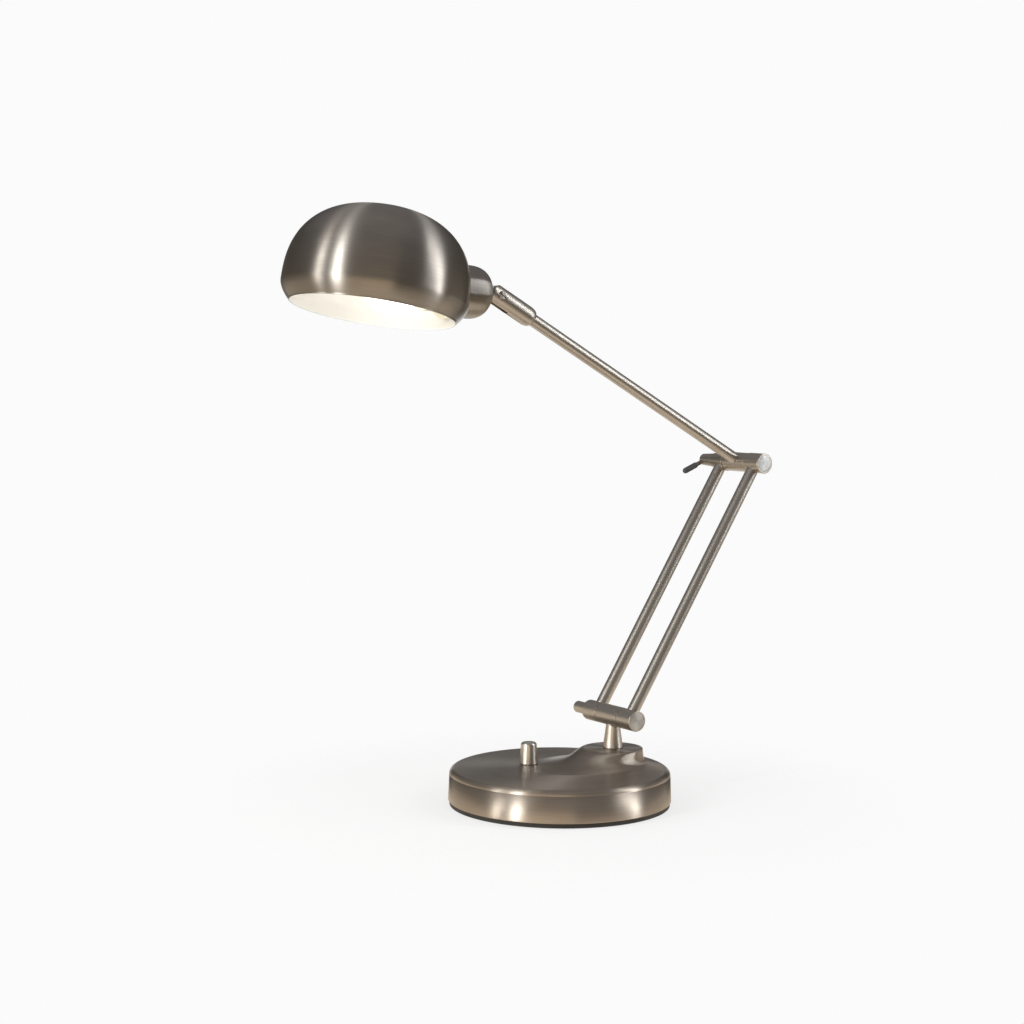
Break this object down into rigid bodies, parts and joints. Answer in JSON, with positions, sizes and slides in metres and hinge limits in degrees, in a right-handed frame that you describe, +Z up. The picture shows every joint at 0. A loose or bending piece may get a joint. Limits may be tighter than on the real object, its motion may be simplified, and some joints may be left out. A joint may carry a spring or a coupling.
{
  "type": "desk lamp",
  "caption": "Dome shade desk lamp: a weighted round base with a dimmer knob, a swivel post, a twin-rod lower arm, a single upper arm and a tilting head.",
  "frame": {"origin": "centre of the underside of the rubber pad, where the base meets the table", "axes": "+Z up out of the table; the shade reaches towards -X; both cross bars run along Y, with the dimmer knob, the round nut and the clamp lever on the +Y side"},
  "size_m": [0.4086, 0.17, 0.4456],
  "materials": {
    "nickel": "satin brushed nickel plate",
    "steel": "zinc-plated steel",
    "iron": "raw cast iron",
    "rubber": "matt black",
    "fibre": "black fibre and cable sheath",
    "grip": "dark grey plastic sleeve",
    "housing": "moulded control housing",
    "holder": "cream thermoplastic",
    "contact": "plain",
    "bulb_metal": "thin rolled shell",
    "bulb": "opal"
  },
  "bodies": {
    "base": {"base_cover": "nickel", "bottom_plate": "steel", "ballast": "iron", "foot_pad": "rubber", "base_screws": "steel", "cord_bush": "rubber", "dimmer_box": "housing", "dimmer_nut": "steel"},
    "knob": {"dimmer_spindle": "steel", "dimmer_knob": "nickel"},
    "post": {"post": "nickel", "swivel_tube": "steel", "swivel_washer": "steel", "swivel_nut": "steel", "lower_middle_hub": "nickel"},
    "lower_arm": {"lower_near_hub": "nickel", "lower_far_hub": "nickel", "lower_washers": "fibre", "lower_axle": "steel", "lower_end_cap": "nickel", "near_rod": "nickel", "far_rod": "nickel", "rod_lead": "fibre", "upper_near_hub": "nickel", "upper_far_hub": "nickel", "elbow_washers": "fibre", "elbow_axle": "steel", "upper_end_cap": "nickel"},
    "round_nut": {"lower_round_nut": "nickel"},
    "clamp": {"clamp_hub": "nickel", "lever_stem": "nickel", "lever_grip": "grip"},
    "upper_arm": {"elbow_middle_hub": "nickel", "upper_arm": "nickel", "arm_lead": "fibre", "fork": "nickel", "fork_washers": "fibre", "pivot_pin": "steel", "pivot_nut": "steel"},
    "head": {"tongue": "steel", "tongue_nut": "steel", "cup": "nickel", "lampholder": "holder", "centre_contact": "contact", "bulb_cap": "bulb_metal", "bulb_glass": "bulb", "shade": "nickel", "shade_ring": "holder"}
  },
  "joints": [
    {"name": "base_swivel", "type": "hinge", "parent": "base", "child": "post", "pos_m": [0.05, 0, 0.05], "axis": [0, 0, 1], "range_deg": [-150, 150]},
    {"name": "lower_tilt", "type": "hinge", "parent": "post", "child": "lower_arm", "pos_m": [0.05, 0, 0.0626], "axis": [0, -1, 0], "range_deg": [-35, 75]},
    {"name": "elbow_tilt", "type": "hinge", "parent": "lower_arm", "child": "upper_arm", "pos_m": [0.17303, 0, 0.25646], "axis": [0, 1, 0], "range_deg": [-40, 90]},
    {"name": "shade_tilt", "type": "hinge", "parent": "upper_arm", "child": "head", "pos_m": [-0.05942, 0, 0.38372], "axis": [0, 1, 0], "range_deg": [-45, 60]},
    {"name": "dimmer_turn", "type": "hinge", "parent": "base", "child": "knob", "pos_m": [-0.0114, 0.0255, 0.036], "axis": [0, 0, 1], "range_deg": [-270, 0]},
    {"name": "clamp_turn", "type": "hinge", "parent": "lower_arm", "child": "clamp", "pos_m": [0.17303, 0.038, 0.25646], "axis": [0, 1, 0], "range_deg": [-60, 60]},
    {"name": "round_nut_turn", "type": "hinge", "parent": "lower_arm", "child": "round_nut", "pos_m": [0.05, 0.04, 0.0626], "axis": [0, 1, 0], "range_deg": [-180, 180]}
  ]
}
